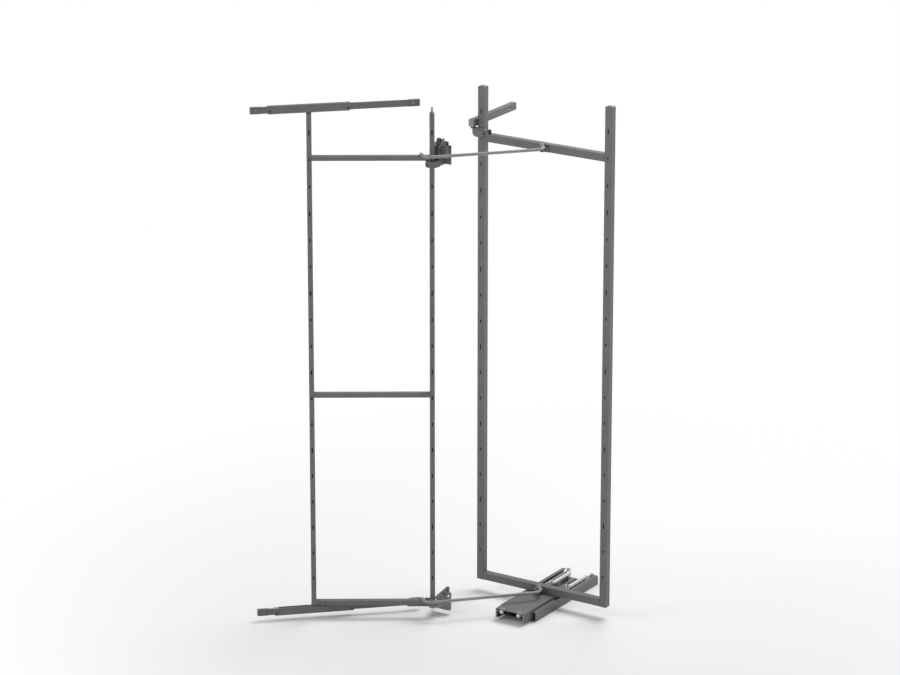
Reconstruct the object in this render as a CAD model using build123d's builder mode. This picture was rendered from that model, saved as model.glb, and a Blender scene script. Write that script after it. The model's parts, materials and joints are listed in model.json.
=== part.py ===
"""Pull out pantry frame: a swinging door frame that draws a sliding rear frame out of a tall cabinet.

Millimetres. X runs across the cabinet to the right, Y into its depth, Z up from its floor.
The origin is the middle of the runner's four floor screws, on the runner's underside.
The set stands as in use with the door open: the door frame is swung out to the front left.
"""
import os
from math import atan2, cos, degrees, radians, sin, sqrt

from build123d import *

# Rear frame, of square steel tube
rear_width = 495.0
rear_height = 1680.0
rear_tube = 25.0
tube_wall = 1.5
tube_corner = 1.2
crossbar_step = 7.0
rear_set_forward = 58.0
cap_thickness = 3.0
cap_insert = 12.0

# Door frame, of flat steel tube
door_reach = 386.0
door_tube_face = 16.0
door_tube_depth = 20.0
door_bar_height = 15.0
door_top_drop = 22.0
door_frame_lift = 5.0
door_crossbar_drop = 139.0
door_middle_bar_rise = 712.5

# Shelf slots, alike on all four uprights
slot_pitch = 88.0
slot_foot_margin = 100.0
slot_width = 4.0
slot_corner = 1.2
short_slot = 11.0
long_slot = 17.0
long_slot_every = 3
rear_slot_drop = 79.5
door_slot_drop = 62.5

# Runner on the cabinet floor
runner_height = 40.0
cover_width = 107.0
cover_length = 257.0
cover_flange = 33.0
cover_sheet = 2.0
cover_overhang = 52.0
base_width = 134.0
base_length = 398.0
base_sheet = 2.5
channel_width = 12.0
channel_height = 32.0
channel_sheet = 2.0
slide_depth = 10.0
slide_height = 24.0
slide_sheet = 1.5
slide_lift = 10.0
ball_gap = 2.5
slide_bracket_sheet = 2.0
slide_bracket_foot = 12.0
slide_end_gap = 4.0
moving_slide_back_gap = 6.5
slide_tab_length = 9.0
slide_tab_gap = 10.0
slide_tab_start = 12.0
slide_tab_proud = 0.6
slide_tab_clearance = 0.2
ball_cage_length = 130.0
floor_screw_across = 40.0
floor_screw_inset = 24.0
screw_hole = 5.0

# Soft close dampers in the runner
damper_diameter = 12.0
damper_length = 108.0
damper_spacing = 62.0
damper_axis_height = 25.0
damper_back_gap = 20.0
damper_end_wall = 6.0
damper_rod = 4.0
damper_rod_entry = 14.0
damper_lug_back = 40.0
damper_lug_sheet = 3.0
damper_saddle_length = 14.0
damper_saddle_width = 16.0
catch_length = 30.0
catch_width = 12.0
catch_nose = 6.0
catch_notch = 6.0
catch_rise = 7.0
end_cap_length = 4.0
tray_corner = 8.0

# Pivot of the door frame and its two brackets on the cabinet side
pivot_from_rear_side = 7.0
pivot_from_rear_front = 281.0
wall_gap = 21.0
bracket_sheet = 4.0
plate_set_back = 47.0
plate_reach = 40.0
upper_plate_height = 62.0
lower_plate_drop = 28.0
lower_plate_rise = 54.0
lower_plate_step = 19.0
lower_plate_step_width = 7.0
lower_plate_top = 9.5
lower_plate_corner = 7.5
plate_hole_side = 27.0
plate_hole_rise = 28.0
plate_top_hole_side = 13.8
plate_top_hole_rise = 42.0
plate_slot_side = 10.0
plate_slot_rise = 22.0
plate_slot_length = 12.0
wall_flange_length = 64.0
wall_hole_spacing = 32.0
wall_hole_start = 20.0
bearing_radius = 21.0
bearing_bore = 28.0
bearing_height = 20.0
bearing_block_left = 14.0
bearing_block_right = 19.0
bearing_block_front = 14.5
bearing_block_rise = 44.0
bearing_block_round = 4.0
bearing_head_right = 37.0
bearing_head_front = 22.0
bearing_head_gap = 4.0
bearing_head_height = 32.0
ear_radius = 9.0
ear_sheet = 9.0
ear_socket = 6.0
socket_sides = 8
ear_near = 2.0
ear_far = 28.0
ear_middle = 31.0
ear_rise = 16.0
ear_step = 7.0
bearing_top_gap = 1.0
arm_sheet = 5.0
arm_radius = 11.0
arm_left = 20.0
arm_right = 30.0
washer_sheet = 1.2
washer_radius = 10.0
pivot_pin = 8.0
pivot_pin_nub = 4.0
pivot_pin_rise = 9.0
foot_tail = 17.0
foot_length = 101.0
foot_sheet = 5.0
foot_rise = 7.0
foot_step = 24.0
top_pin = 5.0
top_pin_length = 17.0

# Link rods
rod_diameter = 10.0
rod_crank = 35.5
rod_offset = 48.0
rod_bend = 30.0
rod_hook_bend = 6.0
rod_leg = 12.0
rod_front_gap = 13.0
rod_eye = 15.0
rod_eye_height = 12.0
rod_sides = 12
rod_bush = 14.0
bush_sides = 8
lug_width = 40.0
lug_ear_width = 26.0
lug_reach = 24.0
lug_height = 17.0
lug_sheet = 3.0
lug_pin_length = 8.0
lug_pin_head = 13.0
lug_pin_sides = 6
lug_pin_head_height = 4.0

# Door rails and the carriages that hold them
rail_bar_depth = 6.0
rail_bar_height = 21.0
rail_hinge_inset = 32.0
rail_free_end = 186.0
rail_block_length = 36.0
rail_block_grip = 10.0
rail_block_back = 8.0
rail_block_front = 4.5
rail_block_corner = 1.5
rail_hole_inset = 20.0
carriage_length = 264.0
carriage_depth = 16.0
carriage_height = 26.0
carriage_sheet = 2.0
carriage_round = 3.0
carriage_gap = 2.8
carriage_pin = 8.0
carriage_pin_length = 14.0
carriage_shoulder = 13.0
carriage_hole = 6.0
carriage_hole_rise = 9.0
carriage_corner = 7.0
saddle_length = 40.0
glide_length = 16.0
door_screw_hole = 4.5

# Top guide of the rear frame
guide_width = 19.0
guide_height = 23.0
guide_length = 258.0
guide_sheet = 1.5
guide_drop = 107.0
guide_front = 20.0
guide_hole_inset = 40.0
guide_access = 9.0
guide_roller = 15.0
guide_roller_height = 12.0
guide_roller_lift = 2.0
guide_roller_forward = 11.0
guide_pin = 5.0
guide_bracket_sheet = 3.0
guide_bracket_height = 33.0
guide_bracket_gap = 4.0
guide_bracket_reach = 18.0

# Fits, and the overrun of cuts
running_gap = 0.05
slip_gap = 0.5
seat_gap = 0.3
overrun = 2.0

# Angles of the open door
door_open_angle = 147.0
door_panel_angle = 136.4

# Places that follow from the sizes
rear_front = -rear_set_forward
rear_bottom = runner_height
rear_top = rear_bottom + rear_height
rear_middle_y = rear_front + rear_tube / 2
rear_upright_x = rear_width / 2 - rear_tube / 2
pivot_x = -rear_width / 2 + pivot_from_rear_side
pivot_y = rear_front - pivot_from_rear_front
wall_x = -rear_width / 2 - wall_gap
door_bottom = runner_height + door_frame_lift
rail_hinge_end = door_reach - rail_hinge_inset
door_top = rear_top - door_top_drop
door_frame_height = door_top - door_bottom
door_crossbar_top = door_top - door_crossbar_drop
rear_crossbar_top = door_crossbar_top + crossbar_step
slot_count = int((rear_height - rear_slot_drop - slot_foot_margin) / slot_pitch) + 1
door_middle_bar_top = door_bottom + door_middle_bar_rise + door_bar_height
door_bottom_bar_top = door_bottom + door_bar_height
cover_front = -base_length / 2 - cover_overhang
cover_back = cover_front + cover_length
floor_screw_along = base_length - 2 * floor_screw_inset
fixed_slide_length = base_length - 2 * slide_end_gap
moving_slide_length = cover_length - moving_slide_back_gap - slip_gap
damper_start = base_length / 2 - damper_back_gap - damper_length


def turned(x, y, angle):
    """A level plane through x, y with its X axis turned by an angle in degrees."""
    return Plane(origin=(x, y, 0), x_dir=(cos(radians(angle)), sin(radians(angle)), 0), z_dir=(0, 0, 1))


def facing(frame, depth):
    """An upright plane across a level frame: X along the frame, Y up, its normal to the front."""
    return Plane(origin=frame.from_local_coords((0, depth, 0)), x_dir=frame.x_dir, z_dir=-frame.y_dir)


def sideways(frame, along):
    """An upright plane square to the frame's X axis: X into the depth, Y up."""
    return Plane(origin=frame.from_local_coords((along, 0, 0)), x_dir=frame.y_dir, z_dir=frame.x_dir)


cabinet = Plane.XY
door = turned(pivot_x, pivot_y, -door_open_angle)
outer_end = door.from_local_coords((door_reach, 0, 0))
rail = turned(outer_end.X, outer_end.Y, -door_panel_angle)

finished = []


def rail_length(edge):
    """How far along the door rails an edge lies."""
    return round(rail.to_local_coords(edge.center()).X)


def finish(piece, label):
    """Name a finished piece and keep it for export."""
    piece.part.label = label
    finished.append(piece.part)


def plate(plane, place, width, depth, corner, thickness):
    """Add a plate with its corners taken off, from a plane along its normal."""
    with BuildSketch(plane) as outline:
        with Locations(place):
            Rectangle(width, depth)
        chamfer(outline.vertices(), corner)
    extrude(outline.sketch, amount=thickness)


def tube(plane, place, width, depth, length):
    """Add a tube whose section lies on a plane and which runs along the plane's normal."""
    with BuildSketch(plane) as section:
        with Locations(place):
            Rectangle(width, depth)
        chamfer(section.vertices(), tube_corner)
        with Locations(place):
            Rectangle(width - 2 * tube_wall, depth - 2 * tube_wall, mode=Mode.SUBTRACT)
    extrude(section.sketch, amount=length)


def beyond(end, up, rise):
    """The height that lies a rise beyond an upright's end, upwards where up is 1, downwards where it is -1."""
    return end + up * rise


def block(plane, low, high, bottom, top):
    """Add a block between two corners of a level plane and two heights."""
    with BuildSketch(plane.offset(bottom)) as outline:
        with Locations(((low[0] + high[0]) / 2, (low[1] + high[1]) / 2)):
            Rectangle(high[0] - low[0], high[1] - low[1])
    extrude(outline.sketch, amount=top - bottom)


def post(plane, place, radius, bottom, top, mode=Mode.ADD):
    """Add or cut an upright round post between two heights."""
    with BuildSketch(plane.offset(bottom)) as circle:
        with Locations(place):
            Circle(radius)
    extrude(circle.sketch, amount=top - bottom, mode=mode)


def prism(plane, place, radius, sides, bottom, top, mode=Mode.ADD):
    """Add or cut an upright post with flat sides between two heights."""
    with BuildSketch(plane.offset(bottom)) as outline:
        with Locations(place):
            RegularPolygon(radius, sides)
    extrude(outline.sketch, amount=top - bottom, mode=mode)


def cut_slots(plane, across, first_height, bolted):
    """Cut an upright's column of shelf slots through the wall that the plane touches.

    Where shelves are bolted, the long slots have round ends that fit the bolt.
    """
    with BuildSketch(plane) as slots:
        for number in range(slot_count):
            long = number % long_slot_every == 0
            with Locations((across, first_height - number * slot_pitch)):
                if long and bolted:
                    SlotOverall(long_slot, slot_width, rotation=90)
                else:
                    punched = Rectangle(slot_width, long_slot if long else short_slot)
                    chamfer(punched.vertices(), slot_corner)
    extrude(slots.sketch, amount=tube_wall + overrun, both=True, mode=Mode.SUBTRACT)


def cut_holes(plane, places, diameter, depth):
    """Cut round holes both ways from a plane."""
    with BuildSketch(plane) as holes:
        with Locations(*places):
            Circle(diameter / 2)
    extrude(holes.sketch, amount=depth, both=True, mode=Mode.SUBTRACT)


# Rear frame: two slotted uprights, a bottom bar and a crossbar, welded flush
for side, name in ((-1, "rear_left_upright"), (1, "rear_right_upright")):
    with BuildPart() as rear_upright:
        tube(cabinet.offset(rear_bottom), (side * rear_upright_x, rear_middle_y), rear_tube, rear_tube,
             rear_height - cap_thickness)
        cut_slots(facing(cabinet, rear_front), side * rear_upright_x, rear_top - rear_slot_drop, True)
    finish(rear_upright, name)

rear_bar_length = rear_width - 2 * rear_tube
for bar_top, name in ((rear_bottom + rear_tube, "rear_bottom_bar"), (rear_crossbar_top, "rear_crossbar")):
    with BuildPart() as rear_bar:
        tube(sideways(cabinet, -rear_bar_length / 2), (rear_middle_y, bar_top - rear_tube / 2),
             rear_tube, rear_tube, rear_bar_length)
    finish(rear_bar, name)

cap_insert_side = rear_tube - 2 * tube_wall - 2 * running_gap
with BuildPart() as rear_caps:
    for side in (-1, 1):
        place = (side * rear_upright_x, rear_middle_y)
        plate(cabinet.offset(rear_top - cap_thickness), place, rear_tube, rear_tube, tube_corner,
              cap_thickness)
        with BuildSketch(cabinet.offset(rear_top - cap_thickness)) as insert:
            with Locations(place):
                Rectangle(cap_insert_side, cap_insert_side)
        extrude(insert.sketch, amount=-cap_insert)
finish(rear_caps, "rear_upright_caps")

# Door frame: a pivot upright, an outer upright and three bars, swung open about the pivot
with BuildPart() as outer_upright:
    tube(door.offset(door_bottom + cap_thickness), (door_reach, 0), door_tube_face, door_tube_depth,
         door_frame_height - 2 * cap_thickness)
    cut_slots(facing(door, door_tube_depth / 2), door_reach, door_top - door_slot_drop, False)
finish(outer_upright, "door_outer_upright")

with BuildPart() as pivot_upright:
    tube(door.offset(door_bottom + foot_rise), (0, 0), door_tube_face, door_tube_depth,
         door_frame_height - foot_rise - cap_thickness)
    cut_slots(facing(door, door_tube_depth / 2), 0, door_top - door_slot_drop, False)
finish(pivot_upright, "door_pivot_upright")

crossbar_start = door_tube_face / 2
crossbar_end = door_reach - door_tube_face / 2
for start, bar_top, name in (
    (foot_step, door_bottom_bar_top, "door_bottom_bar"),
    (crossbar_start, door_middle_bar_top, "door_middle_bar"),
    (crossbar_start, door_crossbar_top, "door_crossbar"),
):
    with BuildPart() as door_bar:
        tube(sideways(door, start), (0, bar_top - door_bar_height / 2), door_tube_depth, door_bar_height,
             crossbar_end - start)
        if bar_top != door_middle_bar_top:
            prism(door, (rod_crank, 0), rod_bush / 2, bush_sides, bar_top - door_bar_height / 2,
                  bar_top + overrun, Mode.SUBTRACT)
    finish(door_bar, name)

insert_face = door_tube_face - 2 * tube_wall - 2 * running_gap
insert_depth = door_tube_depth - 2 * tube_wall - 2 * running_gap
for place, end, inward, bore, name in (
    (door_reach, door_top, -1, carriage_pin + 2 * running_gap, "outer_upright_top_plug"),
    (door_reach, door_bottom, 1, carriage_pin + 2 * running_gap, "outer_upright_bottom_plug"),
    (0, door_top, -1, top_pin, "pivot_upright_top_plug"),
):
    insert_end = end + inward * (cap_thickness + cap_insert)
    with BuildPart() as plug:
        plate(door.offset(end), (place, 0), door_tube_face, door_tube_depth, tube_corner,
              inward * cap_thickness)
        with BuildSketch(door.offset(end)) as insert:
            with Locations((place, 0)):
                Rectangle(insert_face, insert_depth)
        extrude(insert.sketch, amount=inward * (cap_thickness + cap_insert))
        post(door, (place, 0), bore / 2, end - inward * overrun, insert_end + inward * overrun, Mode.SUBTRACT)
    finish(plug, name)

with BuildPart() as upright_top_pin:
    post(door, (0, 0), top_pin / 2, door_top - cap_insert, door_top + top_pin_length)
finish(upright_top_pin, "pivot_upright_top_pin")

with BuildPart() as pivot_foot:
    plate(door.offset(door_bottom - foot_sheet), (foot_length / 2 - foot_tail, 0), foot_length,
          door_tube_depth, foot_sheet, foot_sheet)
    with BuildSketch(door.offset(door_bottom)) as step:
        with Locations(((foot_step - foot_tail) / 2, 0)):
            Rectangle(foot_step + foot_tail, door_tube_depth)
    extrude(step.sketch, amount=foot_rise)
    post(door, (0, 0), pivot_pin / 2 + running_gap, door_bottom - foot_sheet - overrun,
         door_bottom - foot_sheet + pivot_pin_rise + slip_gap, Mode.SUBTRACT)
finish(pivot_foot, "pivot_foot")

# Upper bearing bush, a plastic collar clamped round the pivot upright
bearing_top = door_crossbar_top - door_bar_height - bearing_top_gap
bearing_bottom = bearing_top - bearing_height
with BuildPart() as pivot_bush:
    with BuildSketch(door.offset(bearing_bottom)) as collar:
        Circle(bearing_bore / 2 - running_gap)
        Rectangle(door_tube_face, door_tube_depth, mode=Mode.SUBTRACT)
    extrude(collar.sketch, amount=bearing_height)
finish(pivot_bush, "pivot_upright_bush")

# Upper bracket on the cabinet side: an angle plate and a cast bearing block
bracket_frame = turned(pivot_x, pivot_y, 0)
wall_local = wall_x - pivot_x
plate_back = plate_set_back + bracket_sheet
upper_plate_bottom = bearing_bottom
upper_plate_top = upper_plate_bottom + upper_plate_height
wall_hole_places = (wall_hole_start, wall_hole_start + wall_hole_spacing)


def bracket_angle(bottom, top):
    """Add an angle plate: a face across the cabinet and a flange back along its side."""
    block(bracket_frame, (wall_local, plate_set_back), (plate_reach, plate_back), bottom, top)
    block(bracket_frame, (wall_local, plate_set_back),
          (wall_local + bracket_sheet, plate_set_back + wall_flange_length), bottom, top)


with BuildPart() as upper_wall_plate:
    bracket_angle(upper_plate_bottom, upper_plate_top)
    hole_height = upper_plate_bottom + upper_plate_height / 2
    cut_holes(sideways(bracket_frame, wall_local),
              [(plate_set_back + place, hole_height) for place in wall_hole_places],
              screw_hole, bracket_sheet + overrun)
finish(upper_wall_plate, "upper_wall_plate")

block_top = bearing_top + bearing_block_rise
head_bottom = bearing_top + bearing_head_gap
head_top = head_bottom + bearing_head_height
block_middle = (bearing_block_right - bearing_block_left) / 2
with BuildPart() as bearing_block:
    with BuildSketch(bracket_frame.offset(bearing_bottom)) as foot:
        Circle(bearing_radius)
        with Locations((block_middle, plate_set_back / 2)):
            Rectangle(bearing_block_right + bearing_block_left, plate_set_back)
    extrude(foot.sketch, amount=bearing_height)
    with BuildSketch(bracket_frame.offset(bearing_top)) as body:
        with Locations((block_middle, (bearing_block_front + plate_set_back) / 2)):
            Rectangle(bearing_block_right + bearing_block_left, plate_set_back - bearing_block_front)
        fillet(body.vertices().sort_by(Axis.Y)[0:2], bearing_block_round)
    extrude(body.sketch, amount=bearing_block_rise)
    block(bracket_frame, (-bearing_block_left, bearing_head_front), (bearing_head_right, plate_set_back),
          head_bottom, head_top)
    for ear_start, ear_middle_height in (
        (ear_near, block_top + ear_rise + ear_step - ear_radius),
        (ear_far, block_top + ear_rise - ear_radius),
    ):
        with BuildSketch(sideways(bracket_frame, ear_start)) as ear:
            with Locations((ear_middle, ear_middle_height)):
                Circle(ear_radius)
            with Locations((ear_middle, (head_bottom + ear_middle_height) / 2)):
                Rectangle(2 * ear_radius, ear_middle_height - head_bottom)
        extrude(ear.sketch, amount=ear_sheet)
        with BuildSketch(sideways(bracket_frame, ear_start + ear_sheet)) as socket:
            with Locations((ear_middle, ear_middle_height)):
                RegularPolygon(ear_socket, socket_sides)
        extrude(socket.sketch, amount=-ear_sheet / 2, mode=Mode.SUBTRACT)
    post(bracket_frame, (0, 0), bearing_bore / 2, bearing_bottom - overrun, bearing_top + overrun,
         Mode.SUBTRACT)
finish(bearing_block, "upper_bearing_block")

# Lower bracket: a notched angle plate, an arm and the pivot pin that carries the door frame
lower_plate_bottom = runner_height - lower_plate_drop
lower_plate_top_height = runner_height + lower_plate_rise
slope_end = plate_reach - lower_plate_step_width - lower_plate_top
with BuildPart() as lower_wall_plate:
    bracket_angle(lower_plate_bottom, lower_plate_top_height)
    with BuildSketch(facing(bracket_frame, plate_set_back)) as corner:
        with BuildLine():
            Polyline(
                (slope_end, lower_plate_top_height),
                (wall_local, lower_plate_top_height - (slope_end - wall_local)),
                (wall_local - overrun, lower_plate_top_height - (slope_end - wall_local)),
                (wall_local - overrun, lower_plate_top_height + overrun),
                (slope_end, lower_plate_top_height + overrun),
                close=True,
            )
        make_face()
        with Locations((plate_reach, lower_plate_top_height)):
            Rectangle(2 * lower_plate_step_width, 2 * lower_plate_step)
        with Locations((plate_reach, lower_plate_bottom)):
            Rectangle(lower_plate_corner, lower_plate_corner, rotation=45)
        with Locations((plate_reach - plate_slot_side, runner_height + plate_slot_rise)):
            Rectangle(plate_slot_length, slot_width, rotation=45)
    extrude(corner.sketch, amount=wall_flange_length + overrun, both=True, mode=Mode.SUBTRACT)
    cut_holes(facing(bracket_frame, plate_set_back),
              [(plate_reach - plate_hole_side, runner_height + plate_hole_rise),
               (plate_reach - plate_top_hole_side, runner_height + plate_top_hole_rise)],
              screw_hole, bracket_sheet + overrun)
    hole_height = (lower_plate_bottom + runner_height) / 2
    cut_holes(sideways(bracket_frame, wall_local),
              [(plate_set_back + place, hole_height) for place in wall_hole_places],
              screw_hole, bracket_sheet + overrun)
finish(lower_wall_plate, "lower_wall_plate")

arm_top = door_bottom - foot_sheet - seat_gap - washer_sheet
with BuildPart() as lower_arm:
    with BuildSketch(bracket_frame.offset(arm_top - arm_sheet)) as arm_outline:
        Circle(arm_radius)
        with BuildLine():
            Polyline((-arm_radius, 0), (arm_radius, 0), (arm_right, plate_set_back),
                     (-arm_left, plate_set_back), close=True)
        make_face()
        Circle(pivot_pin / 2, mode=Mode.SUBTRACT)
    extrude(arm_outline.sketch, amount=arm_sheet)
finish(lower_arm, "lower_pivot_arm")

with BuildPart() as lower_pin:
    post(bracket_frame, (0, 0), pivot_pin / 2, arm_top - arm_sheet - pivot_pin_nub,
         door_bottom - foot_sheet + pivot_pin_rise)
finish(lower_pin, "lower_pivot_pin")

with BuildPart() as thrust_washer:
    post(bracket_frame, (0, 0), washer_radius, arm_top, arm_top + washer_sheet)
    post(bracket_frame, (0, 0), pivot_pin / 2, arm_top - overrun, arm_top + washer_sheet + overrun,
         Mode.SUBTRACT)
finish(thrust_washer, "pivot_thrust_washer")

# Link rods: each leaves the door frame at a crank point and ends over a lug on the rear frame
crank = door.from_local_coords((rod_crank, 0, 0))
lug_point_y = rear_front - rod_front_gap
rod_span = sqrt(crank.X ** 2 + (lug_point_y - crank.Y) ** 2)
rod_angle = degrees(atan2(lug_point_y - crank.Y, -crank.X))
rod_frame = turned(crank.X, crank.Y, rod_angle)
rod_rise = rod_hook_bend

rod_levels = (("lower", door_bottom_bar_top), ("upper", door_crossbar_top))

for level, bar_top in rod_levels:
    rod_height = bar_top + rod_rise
    rod_plane = rod_frame.offset(rod_height)
    with BuildPart() as rod:
        with BuildLine(rod_plane) as route:
            FilletPolyline(
                (0, 0, -rod_rise - rod_leg),
                (0, 0, 0),
                (0, -rod_offset, 0),
                (rod_span, -rod_offset, 0),
                (rod_span, 0, 0),
                radius=(rod_hook_bend, rod_bend, rod_bend),
            )
        with BuildSketch(rod_frame.offset(bar_top - rod_leg)):
            RegularPolygon(rod_diameter / 2, rod_sides)
        sweep(path=route.wires()[0])
        post(rod_frame, (rod_span, 0), rod_eye / 2, rod_height - rod_eye_height / 2,
             rod_height + rod_eye_height / 2)
    finish(rod, f"{level}_link_rod")

    lug_top = rod_height - rod_eye_height / 2 - seat_gap
    with BuildPart() as lug:
        block(cabinet, (-lug_width / 2, rear_front - lug_sheet), (lug_width / 2, rear_front),
              lug_top - lug_height, lug_top)
        block(cabinet, (-lug_ear_width / 2, rear_front - lug_reach), (lug_ear_width / 2, rear_front),
              lug_top - lug_sheet, lug_top)
    finish(lug, f"{level}_rod_lug")

with BuildPart() as rod_bushes:
    for level, bar_top in rod_levels:
        prism(door, (rod_crank, 0), rod_bush / 2, bush_sides, bar_top - rod_leg - slip_gap, bar_top)
        post(door, (rod_crank, 0), rod_diameter / 2 + running_gap, bar_top - rod_leg - overrun,
             bar_top + overrun, Mode.SUBTRACT)
finish(rod_bushes, "rod_bushes")

with BuildPart() as lug_pins:
    for level, bar_top in rod_levels:
        pin_top = bar_top + rod_rise - rod_eye_height / 2 - seat_gap - lug_sheet
        pin_bottom = pin_top - lug_pin_length
        post(cabinet, (0, lug_point_y), pivot_pin / 2, pin_bottom, pin_top)
        prism(cabinet, (0, lug_point_y), lug_pin_head / 2, lug_pin_sides, pin_bottom - lug_pin_head_height,
              pin_bottom)
finish(lug_pins, "rod_lug_pins")

# Door rails at the top and bottom of the outer upright, each in a carriage that swivels there
block_back = -rail_block_back
half_depth = carriage_depth / 2
web_start = carriage_height - carriage_sheet
for base_height, up, level in (
    (door_top + carriage_gap, 1, "top"),
    (door_bottom - carriage_gap, -1, "bottom"),
):
    low_edge = min(base_height, beyond(base_height, up, carriage_height))
    saddle_low, saddle_high = sorted((base_height, beyond(base_height, up, carriage_sheet)))
    glide_low, glide_high = sorted((base_height, beyond(base_height, up, web_start)))
    pin_end = beyond(base_height, up, -carriage_gap - carriage_pin_length)
    with BuildPart() as carriage:
        with BuildSketch(sideways(rail, -carriage_length / 2)) as channel:
            with Locations((0, beyond(base_height, up, carriage_height / 2))):
                RectangleRounded(carriage_depth, carriage_height, carriage_round)
            with Locations((0, beyond(base_height, up, web_start / 2 - overrun / 2))):
                Rectangle(carriage_depth - 2 * carriage_sheet, web_start + overrun, mode=Mode.SUBTRACT)
        extrude(channel.sketch, amount=carriage_length)
        block(rail, (-saddle_length / 2, -half_depth + carriage_sheet),
              (saddle_length / 2, half_depth - carriage_sheet), saddle_low, saddle_high)
        prism(rail, (0, 0), carriage_shoulder / 2, bush_sides, base_height,
              beyond(base_height, up, seat_gap - carriage_gap))
        post(rail, (0, 0), carriage_pin / 2, base_height, pin_end)
        with BuildSketch(facing(rail, half_depth)) as eyes:
            with Locations(*[(end * (carriage_length / 2 - glide_length / 2), low_edge + carriage_hole_rise)
                             for end in (-1, 1)]):
                Circle(carriage_hole / 2)
        extrude(eyes.sketch, amount=carriage_sheet + seat_gap, both=True, mode=Mode.SUBTRACT)
        with BuildSketch(facing(rail, 0)) as corners:
            with Locations(*[(end * carriage_length / 2, low_edge) for end in (-1, 1)]):
                Rectangle(carriage_corner, carriage_corner, rotation=45)
        extrude(corners.sketch, amount=carriage_depth, both=True, mode=Mode.SUBTRACT)
    finish(carriage, f"{level}_carriage")

    bar_start = carriage_sheet + slip_gap
    bar_end = bar_start + rail_bar_height
    bar_low, bar_high = sorted((beyond(base_height, up, bar_start), beyond(base_height, up, bar_end)))
    block_hole_middle = (bar_low + bar_high) / 2
    bar_inset = rail_block_length - rail_block_grip
    hinge_hole = -rail_hinge_end + rail_hole_inset
    free_hole = rail_free_end - rail_hole_inset
    with BuildPart() as rail_bar:
        block(rail, (-rail_hinge_end + bar_inset, -rail_bar_depth / 2),
              (rail_free_end - bar_inset, rail_bar_depth / 2), bar_low, bar_high)
    finish(rail_bar, f"{level}_door_rail")

    with BuildPart() as rail_blocks:
        for start in (-rail_hinge_end, rail_free_end - rail_block_length):
            block(rail, (start, block_back), (start + rail_block_length, rail_block_front), bar_low, bar_high)
        chamfer(rail_blocks.edges().filter_by(Axis.Z).group_by(rail_length)[0], rail_block_corner)
        chamfer(rail_blocks.edges().filter_by(Axis.Z).group_by(rail_length)[-1], rail_block_corner)
        with BuildSketch(rail.offset(bar_low - overrun)) as fork:
            with Locations(((rail_free_end - rail_hinge_end) / 2, 0)):
                Rectangle(rail_free_end + rail_hinge_end - 2 * bar_inset, rail_bar_depth)
        extrude(fork.sketch, amount=rail_bar_height + 2 * overrun, mode=Mode.SUBTRACT)
        cut_holes(facing(rail, 0), [(hinge_hole, block_hole_middle), (free_hole, block_hole_middle)],
                  door_screw_hole, rail_block_back + overrun)
    finish(rail_blocks, f"{level}_door_rail_blocks")

    with BuildPart() as glides:
        for end in (-1, 1):
            inner = end * (carriage_length / 2 - glide_length)
            outer = end * carriage_length / 2
            for near, far in ((-half_depth + carriage_sheet, -rail_bar_depth / 2 - seat_gap),
                              (rail_bar_depth / 2 + seat_gap, half_depth - carriage_sheet)):
                block(rail, (min(inner, outer), near), (max(inner, outer), far), glide_low, glide_high)
    finish(glides, f"{level}_carriage_glides")

# Runner: a floor tray with channel edges, slides on brackets, dampers, and the moving cover
with BuildPart() as base_tray:
    block(cabinet, (-base_width / 2, -base_length / 2), (base_width / 2, base_length / 2), 0, base_sheet)
    for side in (-1, 1):
        edge = side * base_width / 2
        wall = side * (base_width / 2 - channel_sheet)
        lip = side * (base_width / 2 - channel_width)
        block(cabinet, (min(edge, wall), -base_length / 2), (max(edge, wall), base_length / 2),
              0, channel_height)
        block(cabinet, (min(edge, lip), -base_length / 2), (max(edge, lip), base_length / 2),
              channel_height - channel_sheet, channel_height)
    cut_holes(cabinet,
              [(x * floor_screw_across / 2, y * floor_screw_along / 2) for x in (-1, 1) for y in (-1, 1)],
              screw_hole, base_sheet + overrun)
    with BuildSketch(sideways(cabinet, -base_width / 2)) as back_corners:
        with Locations((base_length / 2, channel_height)):
            Rectangle(tray_corner, tray_corner, rotation=45)
    extrude(back_corners.sketch, amount=base_width, mode=Mode.SUBTRACT)
finish(base_tray, "runner_base_tray")

tab_middle = cover_width / 2 - cover_sheet - slide_depth / 2
tab_starts = (slide_tab_start, slide_tab_start + slide_tab_length + slide_tab_gap)
with BuildPart() as cover:
    block(cabinet, (-cover_width / 2, cover_front), (cover_width / 2, cover_back),
          runner_height - cover_sheet, runner_height)
    for side in (-1, 1):
        edge = side * cover_width / 2
        wall = side * (cover_width / 2 - cover_sheet)
        block(cabinet, (min(edge, wall), cover_front), (max(edge, wall), cover_back),
              runner_height - cover_flange, runner_height)
    with BuildSketch(cabinet.offset(runner_height)) as tab_slots:
        with Locations(*[(side * tab_middle, cover_front + start + slide_tab_length / 2)
                         for side in (-1, 1) for start in tab_starts]):
            Rectangle(slide_sheet + 2 * slide_tab_clearance, slide_tab_length + 2 * slide_tab_clearance)
    extrude(tab_slots.sketch, amount=cover_sheet + overrun, both=True, mode=Mode.SUBTRACT)
finish(cover, "runner_cover")

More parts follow.
